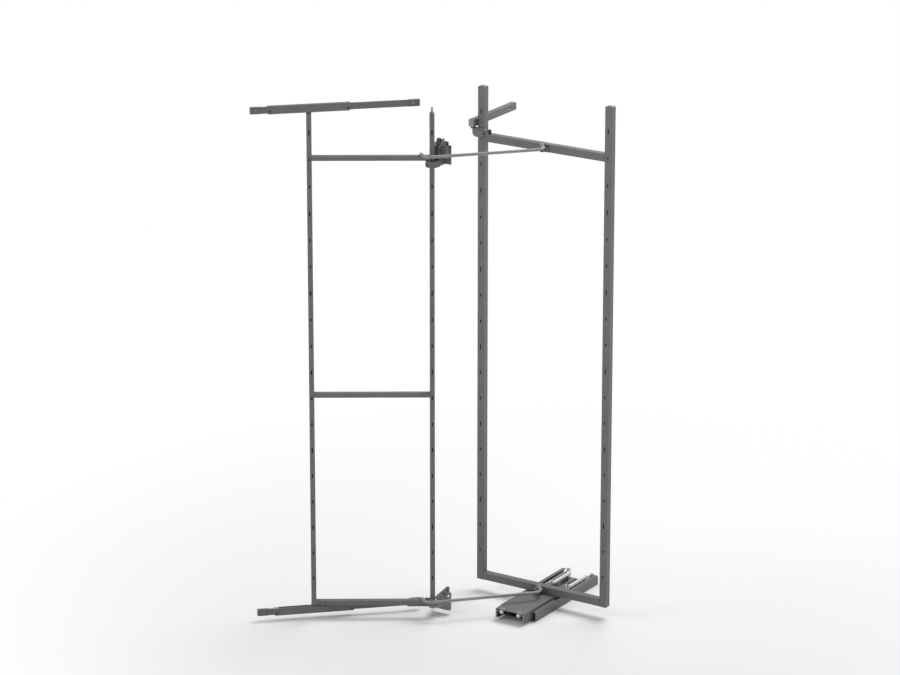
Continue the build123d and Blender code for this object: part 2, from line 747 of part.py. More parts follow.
flange_inside = cover_width / 2 - cover_sheet
slide_inside = flange_inside - slide_depth
slide_top = slide_lift + slide_height
fixed_low = slide_lift + slide_sheet + ball_gap
fixed_high = slide_top - slide_sheet - ball_gap
fixed_outside = slide_inside + slide_depth / 2
for side, name in ((-1, "left"), (1, "right")):
    with BuildPart() as bracket:
        rib = side * (slide_inside - slide_bracket_sheet)
        face = side * slide_inside
        foot = side * (slide_inside - slide_bracket_foot)
        block(cabinet, (min(rib, face), -fixed_slide_length / 2), (max(rib, face), fixed_slide_length / 2),
              base_sheet, fixed_high)
        block(cabinet, (min(foot, face), -fixed_slide_length / 2), (max(foot, face), fixed_slide_length / 2),
              base_sheet, base_sheet + slide_bracket_sheet)
    finish(bracket, f"{name}_slide_bracket")

    with BuildPart() as fixed_slide:
        far = side * fixed_outside
        skin = side * (slide_inside + slide_sheet)
        block(cabinet, (min(face, skin), -fixed_slide_length / 2), (max(face, skin), fixed_slide_length / 2),
              fixed_low, fixed_high)
        for low, high in ((fixed_low, fixed_low + slide_sheet), (fixed_high - slide_sheet, fixed_high)):
            block(cabinet, (min(face, far), -fixed_slide_length / 2),
                  (max(face, far), fixed_slide_length / 2), low, high)
    finish(fixed_slide, f"{name}_fixed_slide")

    with BuildPart() as moving_slide:
        outside = side * flange_inside
        back = side * (flange_inside - slide_sheet)
        lip = side * (slide_inside + slide_sheet)
        start = cover_front + slip_gap
        end = start + moving_slide_length
        block(cabinet, (min(outside, back), start), (max(outside, back), end), slide_lift, slide_top)
        for low, high in ((slide_lift, slide_lift + slide_sheet), (slide_top - slide_sheet, slide_top)):
            block(cabinet, (min(outside, lip), start), (max(outside, lip), end), low, high)
        for tab in tab_starts:
            block(cabinet, (side * tab_middle - slide_sheet / 2, cover_front + tab),
                  (side * tab_middle + slide_sheet / 2, cover_front + tab + slide_tab_length), slide_top,
                  runner_height + slide_tab_proud)
    finish(moving_slide, f"{name}_moving_slide")

    damper_x = side * damper_spacing / 2
    with BuildPart() as damper:
        with BuildSketch(facing(cabinet, damper_start)) as barrel:
            with Locations((damper_x, damper_axis_height)):
                Circle(damper_diameter / 2)
        extrude(barrel.sketch, amount=-damper_length)
        with BuildSketch(facing(cabinet, damper_start)) as bore:
            with Locations((damper_x, damper_axis_height)):
                RegularPolygon(damper_rod / 2 + running_gap, bush_sides, major_radius=False)
        extrude(bore.sketch, amount=-(damper_length - damper_end_wall), mode=Mode.SUBTRACT)
    finish(damper, f"{name}_damper")

    with BuildPart() as damper_rod_piece:
        lug_face = cover_back - damper_lug_back
        with BuildSketch(facing(cabinet, lug_face)) as rod_end:
            with Locations((damper_x, damper_axis_height)):
                Circle(damper_rod / 2)
        extrude(rod_end.sketch, amount=-(damper_start + damper_rod_entry - lug_face))
    finish(damper_rod_piece, f"{name}_damper_rod")

with BuildPart() as ball_cages:
    for side in (-1, 1):
        near = side * (slide_inside + slide_sheet + seat_gap)
        away = side * fixed_outside
        for low in (slide_lift + slide_sheet, fixed_high):
            block(cabinet, (min(near, away), -base_length / 2 + slip_gap),
                  (max(near, away), -base_length / 2 + ball_cage_length),
                  low + seat_gap, low + ball_gap - seat_gap)
finish(ball_cages, "slide_ball_cages")

with BuildPart() as damper_saddles:
    for side in (-1, 1):
        damper_x = side * damper_spacing / 2
        for middle in (damper_start + damper_saddle_length,
                       damper_start + damper_length - damper_saddle_length):
            block(cabinet, (damper_x - damper_saddle_width / 2, middle - damper_saddle_length / 2),
                  (damper_x + damper_saddle_width / 2, middle + damper_saddle_length / 2),
                  base_sheet + slide_bracket_sheet, damper_axis_height)
        with BuildSketch(facing(cabinet, damper_start)) as seat:
            with Locations((damper_x, damper_axis_height)):
                Rectangle(damper_diameter, damper_diameter, rotation=45)
        extrude(seat.sketch, amount=-damper_length, mode=Mode.SUBTRACT)
finish(damper_saddles, "damper_saddles")

with BuildPart() as damper_catches:
    for side in (-1, 1):
        catch_x = side * damper_spacing / 2
        catch_floor = base_sheet + slide_bracket_sheet
        with BuildSketch(sideways(cabinet, catch_x - catch_width / 2)) as catch:
            with BuildLine():
                Polyline(
                    (damper_start, catch_floor),
                    (damper_start, damper_axis_height + catch_rise),
                    (damper_start - catch_nose, damper_axis_height + catch_rise),
                    (damper_start - catch_nose, damper_axis_height),
                    (damper_start - catch_length / 2, damper_axis_height),
                    (damper_start - catch_length / 2, damper_axis_height + catch_rise / 2),
                    (damper_start - catch_length / 2 - catch_nose, damper_axis_height + catch_rise / 2),
                    (damper_start - catch_length, damper_axis_height - catch_nose),
                    (damper_start - catch_length, catch_floor),
                    close=True,
                )
            make_face()
        extrude(catch.sketch, amount=catch_width)
        with BuildSketch(facing(cabinet, damper_start)) as notch:
            with Locations((catch_x, damper_axis_height + catch_rise)):
                Rectangle(catch_notch, 2 * catch_rise + catch_notch)
        extrude(notch.sketch, amount=catch_length + overrun, both=True, mode=Mode.SUBTRACT)
finish(damper_catches, "damper_catches")

with BuildPart() as end_caps:
    for side in (-1, 1):
        inner = side * (slide_inside - slide_bracket_sheet)
        outer = side * flange_inside
        block(cabinet, (min(inner, outer), fixed_slide_length / 2),
              (max(inner, outer), fixed_slide_length / 2 + end_cap_length), base_sheet, slide_top)
finish(end_caps, "slide_end_caps")

with BuildPart() as damper_lug:
    half_plate = slide_inside - slide_bracket_sheet - slip_gap
    plate_face = cover_back - damper_lug_back
    block(cabinet, (-half_plate, plate_face - damper_lug_sheet), (half_plate, plate_face),
          damper_axis_height - damper_diameter / 2, runner_height - cover_sheet)
finish(damper_lug, "damper_rod_plate")

# Top guide: a rail on the cabinet side and a roller on a bracket of the rear frame
guide_bottom = rear_top - guide_drop - guide_height
guide_y = rear_front - guide_front
with BuildPart() as guide_rail:
    with BuildSketch(facing(cabinet, guide_y)) as profile:
        with Locations((wall_x + guide_width / 2, guide_bottom + guide_height / 2)):
            Rectangle(guide_width, guide_height)
        with Locations((wall_x + guide_width / 2, guide_bottom + guide_height / 2 - guide_sheet)):
            Rectangle(guide_width - 2 * guide_sheet, guide_height, mode=Mode.SUBTRACT)
    extrude(profile.sketch, amount=-guide_length)
    hole_places = [(guide_y + guide_hole_inset, guide_bottom + guide_height / 2),
                   (guide_y + guide_length - guide_hole_inset, guide_bottom + guide_height / 2)]
    cut_holes(sideways(cabinet, wall_x), hole_places, screw_hole, guide_sheet + overrun)
    with BuildSketch(sideways(cabinet, wall_x + guide_width)) as access:
        with Locations(*hole_places):
            Rectangle(guide_access, guide_access)
    extrude(access.sketch, amount=guide_sheet + overrun, both=True, mode=Mode.SUBTRACT)
finish(guide_rail, "top_guide_rail")

roller_x = wall_x + guide_width / 2
roller_y = rear_front - guide_roller_forward
bracket_top = guide_bottom - guide_bracket_gap
with BuildPart() as guide_bracket:
    block(cabinet, (roller_x - guide_roller / 2, rear_front - guide_bracket_sheet),
          (-rear_upright_x + rear_tube / 2, rear_front), bracket_top - guide_bracket_height, bracket_top)
    block(cabinet, (roller_x - guide_roller / 2, rear_front - guide_bracket_reach),
          (roller_x + guide_roller / 2, rear_front), bracket_top - guide_bracket_sheet, bracket_top)
finish(guide_bracket, "top_guide_bracket")

roller_bottom = guide_bottom + guide_roller_lift
with BuildPart() as roller_pin:
    post(cabinet, (roller_x, roller_y), guide_pin / 2, bracket_top, roller_bottom + guide_roller_height)
finish(roller_pin, "guide_roller_pin")

with BuildPart() as roller:
    post(cabinet, (roller_x, roller_y), guide_roller / 2, roller_bottom, roller_bottom + guide_roller_height)
    post(cabinet, (roller_x, roller_y), guide_pin / 2 + running_gap, roller_bottom - overrun,
         roller_bottom + guide_roller_height + overrun, Mode.SUBTRACT)
finish(roller, "guide_roller")

os.makedirs("parts", exist_ok=True)
for piece in finished:
    export_step(piece, f"parts/{piece.label}.step")
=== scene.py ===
import json
import math

import bpy
import numpy as np
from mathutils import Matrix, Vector


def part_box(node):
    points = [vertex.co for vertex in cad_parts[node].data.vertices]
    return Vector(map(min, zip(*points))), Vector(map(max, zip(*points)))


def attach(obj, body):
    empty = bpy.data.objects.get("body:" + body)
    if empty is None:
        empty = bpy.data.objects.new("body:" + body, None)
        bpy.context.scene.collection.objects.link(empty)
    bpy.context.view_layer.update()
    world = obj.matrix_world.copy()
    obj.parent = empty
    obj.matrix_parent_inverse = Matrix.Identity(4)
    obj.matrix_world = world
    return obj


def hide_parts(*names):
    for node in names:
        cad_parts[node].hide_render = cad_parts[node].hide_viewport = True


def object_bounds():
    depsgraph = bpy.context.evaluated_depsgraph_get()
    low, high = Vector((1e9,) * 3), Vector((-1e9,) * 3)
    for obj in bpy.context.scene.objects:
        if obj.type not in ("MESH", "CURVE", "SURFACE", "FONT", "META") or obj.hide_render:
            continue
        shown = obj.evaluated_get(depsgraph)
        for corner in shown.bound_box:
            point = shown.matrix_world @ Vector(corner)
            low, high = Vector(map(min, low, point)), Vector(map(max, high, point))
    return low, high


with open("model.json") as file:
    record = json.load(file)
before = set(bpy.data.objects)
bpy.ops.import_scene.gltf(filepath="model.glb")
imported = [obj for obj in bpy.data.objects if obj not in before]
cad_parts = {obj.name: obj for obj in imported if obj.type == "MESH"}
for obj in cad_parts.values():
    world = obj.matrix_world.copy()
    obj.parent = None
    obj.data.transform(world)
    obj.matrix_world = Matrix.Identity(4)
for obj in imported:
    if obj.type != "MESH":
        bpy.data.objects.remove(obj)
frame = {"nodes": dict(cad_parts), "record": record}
cad_low, cad_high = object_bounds()

# Uprights and bars of both frames
# Welded steel tube, square in the rear frame and flat in the door frame, with punched shelf slots.
# Powder coated after welding in a dark grey with a satin sheen and a fine orange peel.
MM = 0.001
COAT_DRIFT = 60.0
COAT_GRAIN = 0.7
COAT_DIMPLE = 1.6
COAT_DIMPLE_DEPTH = 0.15


def linear_colour(hex_code):
    """Turn an sRGB hex colour into the linear values that a shader takes, by the sRGB standard's curve."""
    channels = np.array([int(hex_code[i:i + 2], 16) for i in (1, 3, 5)]) / 255
    curve = np.where(channels <= 0.04045, channels / 12.92, ((channels + 0.055) / 1.055) ** 2.4)
    return (*curve.tolist(), 1.0)


def add_node(tree, kind, inputs=None, links=None, **settings):
    """Add a node, set its inputs and settings, and link its inputs to (node, output) pairs."""
    node = tree.nodes.new(kind)
    for name, value in settings.items():
        setattr(node, name, value)
    for name, value in (inputs or {}).items():
        node.inputs[name].default_value = value
    for name, (source, output) in (links or {}).items():
        tree.links.new(source.outputs[output], node.inputs[name])
    return node


def new_material(name):
    """Start an empty material, and find the object coordinates that its patterns read."""
    material = bpy.data.materials.new(name)
    material.use_nodes = True
    material.node_tree.nodes.clear()
    coordinates = add_node(material.node_tree, "ShaderNodeTexCoord")
    return material, material.node_tree, (coordinates, "Object")


def add_noise(tree, coordinates, size, detail):
    """Add noise whose features are about the given size in millimetres."""
    noise = add_node(tree, "ShaderNodeTexNoise", {"Scale": 1 / (size * MM), "Detail": detail},
                     {"Vector": coordinates})
    return noise, "Fac"


def add_ramp(tree, source, *stops):
    """Add a colour ramp of (position, hex colour) stops, given from the lowest position to the highest."""
    ramp = add_node(tree, "ShaderNodeValToRGB", links={"Fac": source})
    elements = ramp.color_ramp.elements
    for position, _ in stops[1:-1]:
        elements.new(position)
    for element, (position, hex_code) in zip(elements, stops):
        element.position = position
        element.color = linear_colour(hex_code)
    return ramp, "Color"


def add_surface(tree, settings, links, relief, strength, depth):
    """Finish a material with a principled shader over a relief of the given depth in millimetres."""
    bump = add_node(tree, "ShaderNodeBump", {"Strength": strength, "Distance": depth * MM},
                    {"Height": relief})
    shader = add_node(tree, "ShaderNodeBsdfPrincipled", settings, {**links, "Normal": (bump, "Normal")})
    add_node(tree, "ShaderNodeOutputMaterial", links={"Surface": (shader, "BSDF")})


def powder_coat(name, colour, lighter, darker, roughness):
    """Powder coat is sprayed as dust and baked: it flows into soft dimples of about a millimetre.

    The dimples are drawn 1.6 mm across so that they show, and the colour drifts slightly over 60 mm.
    """
    material, tree, coordinates = new_material(name)
    drift = add_noise(tree, coordinates, COAT_DRIFT, detail=3.0)
    grain = add_noise(tree, coordinates, COAT_GRAIN, detail=2.0)
    both = add_node(tree, "ShaderNodeMix", {"Factor": 0.35}, {"A": drift, "B": grain})
    ramp = add_ramp(tree, (both, "Result"), (0.3, darker), (0.5, colour), (0.7, lighter))
    gloss = add_node(tree, "ShaderNodeMapRange", {"To Min": roughness - 0.05, "To Max": roughness + 0.07},
                     {"Value": grain})
    dimples = add_noise(tree, coordinates, COAT_DIMPLE, detail=1.0)
    add_surface(tree, {"IOR": 1.5}, {"Base Color": ramp, "Roughness": (gloss, "Result")}, dimples,
                strength=0.12, depth=COAT_DIMPLE_DEPTH)
    return material


def paint_nodes(material, *names):
    """Give CAD nodes a material through their objects' slots."""
    for name in names:
        for material_slot in frame["nodes"][name].material_slots:
            material_slot.material = material


anthracite_powder_coat = powder_coat("anthracite_powder_coat", "#676768", "#6e6e6f", "#606061", 0.42)
paint_nodes(
    anthracite_powder_coat,
    "rear_left_upright", "rear_right_upright", "rear_bottom_bar", "rear_crossbar",
    "door_pivot_upright", "door_outer_upright", "door_bottom_bar", "door_middle_bar", "door_crossbar",
    "pivot_foot", "upper_rod_lug", "lower_rod_lug",
)

# Weld beads
# The bars are welded to the uprights on the top, back and underside, and ground flush in front.
# Each bead is a row of overlapping ripples, coated with the frame.
BEAD_RADIUS = 1.5
BEAD_SIDES = 10
BEAD_CORNER = 1.5
BEAD_STEP = 0.5
BEAD_RIPPLE = 2.4
BEAD_SWELL = 0.1
BEAD_END_RISE = 12.0
BEAD_END_SIZE = 0.25
BEAD_FRONT_GAP = 3.0
BEAD_INSET = 0.3
BEAD_SHARP_ANGLE = 60.0
OFF_AXIS = (0.31, 0.47, 0.83)
DOOR_TUBE_FACE = 16.0
DOOR_TUBE_DEPTH = 20.0
FOOT_STEP = 24.0
joints = {joint["name"]: joint for joint in frame["record"]["behaviour"]["joints"]}


def joint_place(name):
    """A joint's place in millimetres."""
    return np.array(joints[name]["pos_m"]) / MM


def in_mm(corners):
    """A box's lowest and highest corner in millimetres."""
    return [np.array(corner) / MM for corner in corners]


def laid_out(place, along, local):
    """Turn points given as along, across and height into the shared frame.

    Each is the place, plus along times a level direction, plus across times the direction square to it.
    """
    local = np.asarray(local, float)
    directions = np.array([[along[0], along[1], 0.0], [-along[1], along[0], 0.0], [0.0, 0.0, 1.0]])
    return np.array([place[0], place[1], 0.0]) + local @ directions


def bent_route(corners, radii, arc_steps=9):
    """Straight runs between corners, and round each inner corner an arc that both runs touch.

    The arc's middle is on the corner's bisector, at the radius over the sine of half the corner's angle.
    """
    corners = np.asarray(corners, float)
    route = [corners[:1]]
    for before, corner, after, radius in zip(corners, corners[1:], corners[2:], radii):
        back = (before - corner) / np.linalg.norm(before - corner)
        ahead = (after - corner) / np.linalg.norm(after - corner)
        half = math.acos(back @ ahead) / 2
        middle = corner + (back + ahead) / np.linalg.norm(back + ahead) * radius / math.sin(half)
        outward = (corner + back * radius / math.tan(half) - middle) / radius
        turn = np.linspace(0, math.pi - 2 * half, arc_steps)[:, None]
        route.append(middle + radius * (outward * np.cos(turn) - back * np.sin(turn)))
    route.append(corners[-1:])
    return np.concatenate(route)


def evenly(route, spacing):
    """The same route with its points an even spacing apart, measured along it."""
    along = np.concatenate([[0], np.cumsum(np.linalg.norm(np.diff(route, axis=0), axis=1))])
    marks = np.linspace(0, along[-1], int(along[-1] / spacing) + 2)
    return np.stack([np.interp(marks, along, route[:, axis]) for axis in range(3)], axis=1)


def circle_profile(radius, sides):
    """Points of a circle: the radius times the cosine and the sine of the angle."""
    angle = np.linspace(0, 2 * math.pi, sides, endpoint=False)
    return radius * np.stack([np.cos(angle), np.sin(angle)], axis=1)


def carried_profile(route, profile, reference, scale=1.0):
    """A flat profile carried along a route.

    Each ring is the profile, times the scale there, laid on two directions: the first is square to the
    route's heading and to the reference, the second is square to the heading and to the first. The
    reference is any direction that the route never takes.
    """
    heading = np.gradient(route, axis=0)
    heading /= np.linalg.norm(heading, axis=1, keepdims=True)
    across = np.cross(heading, reference)
    across /= np.linalg.norm(across, axis=1, keepdims=True)
    upward = np.cross(heading, across)
    scale = np.broadcast_to(scale, len(route))[:, None, None]
    rings = profile[None, :, :1] * across[:, None] + profile[None, :, 1:] * upward[:, None]
    return route[:, None] + scale * rings


def add_piece(name, grids, material, body, sharp_angle=40.0):
    """Make one piece of closed grids of points, and let it ride on a body.

    A grid is rows of rings. Neighbouring rings are joined by faces, and a face closes each end, unless
    the last ring repeats the first and the grid closes on itself. The sum of the faces' signed volumes
    about the middle says which way they face, and where it is negative the rings are reversed.
    """
    corners, faces, start = [], [], 0
    for grid in grids:
        grid = np.asarray(grid, float)
        looped = np.allclose(grid[0], grid[-1])
        centred = grid - grid.mean(axis=(0, 1))
        near, far = centred[:-1], centred[1:]
        near_next, far_next = np.roll(near, -1, axis=1), np.roll(far, -1, axis=1)
        volume = np.einsum("ijk,ijk->", near, np.cross(near_next, far_next) + np.cross(far_next, far))
        if not looped:
            for ring, sign in ((centred[0], -1), (centred[-1], 1)):
                volume += sign * np.cross(ring, np.roll(ring, -1, axis=0)).sum(axis=0) @ ring.mean(axis=0)
        if volume < 0:
            grid = grid[:, ::-1]
        if looped:
            grid = grid[:-1]
        rows, columns = grid.shape[:2]
        index = start + np.arange(rows * columns).reshape(rows, columns)
        beyond = np.roll(index, -1, axis=0) if looped else index[1:]
        here = index if looped else index[:-1]
        faces += np.stack([here, np.roll(here, -1, axis=1), np.roll(beyond, -1, axis=1), beyond],
                          axis=-1).reshape(-1, 4).tolist()
        if not looped:
            faces += [index[0, ::-1].tolist(), index[-1].tolist()]
        corners.append(grid.reshape(-1, 3))
        start += rows * columns
    mesh = bpy.data.meshes.new(name)
    mesh.from_pydata(np.concatenate(corners) * MM, [], faces)
    mesh.polygons.foreach_set("use_smooth", np.ones(len(faces), bool))
    mesh.set_sharp_from_angle(angle=math.radians(sharp_angle))
    mesh.materials.append(material)
    mesh.update()
    piece = bpy.data.objects.new(name, mesh)
    bpy.context.scene.collection.objects.link(piece)
    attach(piece, body)
    return piece


def bead_round(place, along, at, front, back, underside, top):
    """A bead along the top, back and underside of a bar's end, sunk slightly into the top and underside.

    Its radius swells by a tenth with the sine of the way along, and falls off at both ends.
    """
    low, high = underside + BEAD_INSET, top - BEAD_INSET
    route = laid_out(place, along, [(at, front, high), (at, back, high), (at, back, low), (at, front, low)])
    route = evenly(bent_route(route, (BEAD_CORNER, BEAD_CORNER)), BEAD_STEP)
    mark = np.linspace(0, 1, len(route))
    ripple = 1 + BEAD_SWELL * np.abs(np.sin(math.pi * mark * len(route) * BEAD_STEP / BEAD_RIPPLE))
    fall = np.clip(np.sin(math.pi * mark) * BEAD_END_RISE, BEAD_END_SIZE, 1)
    return carried_profile(route, circle_profile(BEAD_RADIUS, BEAD_SIDES), OFF_AXIS, ripple * fall)


rear_beads = []
for bar in ("rear_bottom_bar", "rear_crossbar"):
    low, high = in_mm(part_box(bar))
    rear_beads += [bead_round((0, 0), (1, 0), x, low[1] + BEAD_FRONT_GAP, high[1], low[2], high[2])
                   for x in (low[0], high[0])]
add_piece("rear_frame_welds", rear_beads, anthracite_powder_coat, "rear_frame",
          BEAD_SHARP_ANGLE)

door_pivot = joint_place("door_frame_swing")
carriage_pivot = joint_place("top_carriage_swivel")
door_reach = np.linalg.norm((carriage_pivot - door_pivot)[:2])
door_along = (carriage_pivot - door_pivot)[:2] / door_reach
upright_edge = DOOR_TUBE_FACE / 2
door_front = DOOR_TUBE_DEPTH / 2
door_beads = []
for bar, start in (("door_bottom_bar", FOOT_STEP), ("door_middle_bar", upright_edge),
                   ("door_crossbar", upright_edge)):
    low, high = in_mm(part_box(bar))
    door_beads += [bead_round(door_pivot, door_along, at, door_front - BEAD_FRONT_GAP, -door_front,
                              low[2], high[2])
                   for at in (start, door_reach - upright_edge)]
add_piece("door_frame_welds", door_beads, anthracite_powder_coat, "door_frame",
          BEAD_SHARP_ANGLE)

# Caps and plugs in the tube ends
# Moulded polyamide pushed into the tubes, matt and slightly darker than the coat around them.
# The outer upright's plugs also guide the pins that the carriages swivel on.
PLASTIC_GRAIN = 0.9
PLASTIC_GRAIN_DEPTH = 0.1


def moulded_plastic(name, colour, darker, roughness):
    """Polyamide from a spark-eroded mould: a matt grain of about 0.3 mm, drawn 0.9 mm so that it shows."""
    material, tree, coordinates = new_material(name)
    grain = add_noise(tree, coordinates, PLASTIC_GRAIN, detail=3.0)
    ramp = add_ramp(tree, grain, (0.35, darker), (0.6, colour))
    add_surface(tree, {"IOR": 1.53, "Roughness": roughness}, {"Base Color": ramp}, grain,
                strength=0.1, depth=PLASTIC_GRAIN_DEPTH)
    return material


grey_polyamide = moulded_plastic("grey_polyamide", "#636364", "#5a5a5b", 0.5)
black_polyamide = moulded_plastic("black_polyamide", "#2a2a2b", "#222223", 0.45)
paint_nodes(grey_polyamide, "top_door_rail_blocks", "bottom_door_rail_blocks", "outer_upright_top_plug",
            "outer_upright_bottom_plug")
paint_nodes(black_polyamide, "pivot_upright_bush", "rod_bushes", "rod_lug_pins", "guide_roller",
            "pivot_upright_top_pin")


def rounded_corners(corners, radii, arc_steps=7):
    """Round the corners of a convex outline given anticlockwise, and find its outward directions.

    Each corner is an arc from the direction that faces out of the edge before it to that of the edge
    after it, about a point set in from the corner so that the arc touches both edges.
    """
    corners = np.asarray(corners, float)
    radii = np.broadcast_to(radii, len(corners)).astype(float)
    edge_in = corners - np.roll(corners, 1, axis=0)
    edge_out = np.roll(corners, -1, axis=0) - corners
    start = np.arctan2(-edge_in[:, 0], edge_in[:, 1])
    turn = (np.arctan2(-edge_out[:, 0], edge_out[:, 1]) - start) % (2 * math.pi)
    middle_angle = start + turn / 2
    inset = radii / np.cos(turn / 2)
    middles = corners - np.stack([np.cos(middle_angle), np.sin(middle_angle)], axis=1) * inset[:, None]
    angle = start[:, None] + turn[:, None] * np.linspace(0, 1, arc_steps)
    outward = np.stack([np.cos(angle), np.sin(angle)], axis=-1)
    outline = middles[:, None] + outward * radii[:, None, None]
    return outline.reshape(-1, 2), outward.reshape(-1, 2)


def rectangle(low, high):
    """The four corners of a rectangle, anticlockwise."""
    return [(low[0], low[1]), (high[0], low[1]), (high[0], high[1]), (low[0], high[1])]


def lofted(origin, directions, shape, levels):
    """Rings of an outline at several heights, each drawn in along the outward directions by its inset.

    The directions are the outline's X and Y and the heights' direction.
    """
    outline, outward = shape
    directions = np.asarray(directions, float)
    rings = [np.concatenate([outline - inset * outward, np.full((len(outline), 1), height)], axis=1)
             for height, inset in levels]
    return np.asarray(origin, float) + np.stack(rings) @ directions


def turned_part(place, axis, profile, sides=24, hexagon=()):
    """A profile of height and radius pairs turned about an axis.

    In the rows named in hexagon, the radius is divided by the cosine of the angle from the nearest flat,
    which makes a hexagon with the radius across its flats.
    """
    axis = np.asarray(axis, float) / np.linalg.norm(axis)
    across = np.cross(axis, OFF_AXIS)
    across /= np.linalg.norm(across)
    upward = np.cross(axis, across)
    profile = np.asarray(profile, float)
    angle = np.linspace(0, 2 * math.pi, sides, endpoint=False)
    radius = np.repeat(profile[:, 1:], sides, axis=1)
    for row in hexagon:
        radius[row] /= np.cos((angle + math.pi / 6) % (math.pi / 3) - math.pi / 6)
    ring = np.cos(angle)[:, None] * across + np.sin(angle)[:, None] * upward
    return np.asarray(place, float) + profile[:, :1, None] * axis + radius[..., None] * ring


RIGHT = (1, 0, 0)
BACK = (0, 1, 0)
FORWARD = (0, -1, 0)
UP = (0, 0, 1)
DOWN = (0, 0, -1)
LEVEL = (RIGHT, BACK, UP)
CAP_CORNER = 1.6
CAP_LEVELS = ((-14.6, 2.4), (-14.0, 1.6), (-3.0, 1.6), (-3.0, 0.1), (-1.0, 0.1), (-0.4, 0.4), (0.0, 1.1))
CAP_BOSS = ((-0.4, 6.2), (0.5, 6.0), (1.1, 5.3), (1.5, 3.8), (1.7, 2.0), (1.75, 0.2))
cap_low, cap_high = in_mm(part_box("rear_upright_caps"))
cap_half = (cap_high[1] - cap_low[1]) / 2
cap_shape = rounded_corners(rectangle((-cap_half, -cap_half), (cap_half, cap_half)), CAP_CORNER)
cap_grids = []
for side in (-1, 1):
    cap_place = (side * (cap_high[0] - cap_half), (cap_low[1] + cap_high[1]) / 2, cap_high[2])
    cap_grids += [lofted(cap_place, LEVEL, cap_shape, CAP_LEVELS), turned_part(cap_place, UP, CAP_BOSS)]
crowned_caps = add_piece("rear_upright_crowned_caps", cap_grids, grey_polyamide, "rear_frame")
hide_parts("rear_upright_caps")

PLUG_CORNER = 5.4
PLUG_LEVELS = ((-14.6, 2.2), (-14.0, 1.6), (-3.0, 1.6), (-3.0, 0.1), (-1.6, 0.1), (1.6, 4.4), (2.2, 5.2))
door_outward = (*door_along, 0.0)
door_forward = (-door_along[1], door_along[0], 0.0)
plug_place = (door_pivot[0], door_pivot[1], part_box("pivot_upright_top_plug")[1].z / MM)
plug_shape = rounded_corners(rectangle((-upright_edge, -door_front), (upright_edge, door_front)),
                             PLUG_CORNER)
shouldered_plug = add_piece(
    "pivot_upright_shouldered_plug",
    [lofted(plug_place, (door_outward, door_forward, UP), plug_shape, PLUG_LEVELS)],
    grey_polyamide, "door_frame")
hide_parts("pivot_upright_top_plug")

# Link rods
# Round steel bar bent cold at both ends, with a pressed eye that turns over the lug's pin.
# Coated like the frames, but lighter and glossier.
ROD_RADIUS = 5.0
ROD_SIDES = 28
ROD_OFFSET = 48.0
ROD_LEG = 18.0
ROD_BENDS = (6.0, 30.0, 30.0)
ROD_ARC_STEPS = 17
ROD_REFERENCE = (1.0, 1.0, 1.3)
FINE_SIDES = 32
EYE_PROFILE = ((-6.0, 6.4), (-5.4, 7.4), (-4.6, 7.6), (4.4, 7.6), (5.3, 7.2), (5.9, 6.2), (6.0, 4.4),
               (5.4, 4.0), (5.4, 3.8), (6.9, 3.5), (7.7, 2.4), (8.0, 0.3))
rod_powder_coat = powder_coat("rod_powder_coat", "#8b8b8c", "#939394", "#838384", 0.24)
lug_pin = sum(in_mm(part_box("rod_lug_pins"))) / 2
for level in ("upper", "lower"):
    crank = joint_place(f"{level}_rod_pivot")
    reach = lug_pin[:2] - crank[:2]
    span = np.linalg.norm(reach)
    rod_corners = [(0, 0, -ROD_LEG), (0, 0, 0), (0, -ROD_OFFSET, 0), (span, -ROD_OFFSET, 0), (span, 0, 0)]
    rod_route = laid_out(crank, reach / span, bent_route(rod_corners, ROD_BENDS, ROD_ARC_STEPS))
    rod_route += (0, 0, crank[2])
    rod_grid = carried_profile(rod_route, circle_profile(ROD_RADIUS, ROD_SIDES), ROD_REFERENCE)
    rod_eye = turned_part((lug_pin[0], lug_pin[1], crank[2]), UP, EYE_PROFILE, FINE_SIDES)
    rod_piece = add_piece(f"{level}_smooth_rod", [rod_grid, rod_eye], rod_powder_coat, f"{level}_rod")
    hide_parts(f"{level}_link_rod")

# Rails, carriages, runner sheets and wall plates
# Drawn and pressed steel, powder coated like the frames. The lower wall plate and its arm get the
# rods' lighter coat as painted light: it lifts them out of the shade that falls on them near the floor.
# A black rivet holds each carriage glide, and the end blocks' holes are lined with black cups round
# zinc eyelets.
paint_nodes(anthracite_powder_coat, "top_door_rail", "bottom_door_rail", "top_carriage", "bottom_carriage",
            "top_guide_rail", "runner_cover", "runner_base_tray", "upper_wall_plate")
# Painted light: the rods' lighter coat on the lower wall plate and its arm offsets the shade they lie in
# near the floor.
paint_nodes(rod_powder_coat, "lower_wall_plate", "lower_pivot_arm")
ZINC_LINE = 0.8
ZINC_LINE_STRETCH = (1.0, 0.05, 1.0)
ZINC_CLOUD = 12.0
ZINC_LINE_DEPTH = 0.1


def zinc_plate(name, colour, darker, roughness):
    """Bright zinc plate over rolled steel: faint lengthwise draw lines 0.8 mm apart and soft clouding."""
    material, tree, coordinates = new_material(name)
    stretch = add_node(tree, "ShaderNodeMapping", {"Scale": ZINC_LINE_STRETCH}, {"Vector": coordinates})
    lines = add_noise(tree, (stretch, "Vector"), ZINC_LINE, detail=2.0)
    clouds = add_noise(tree, coordinates, ZINC_CLOUD, detail=2.0)
    ramp = add_ramp(tree, clouds, (0.35, darker), (0.65, colour))
    add_surface(tree, {"Metallic": 1.0, "Roughness": roughness}, {"Base Color": ramp}, lines,
                strength=0.08, depth=ZINC_LINE_DEPTH)
    return material


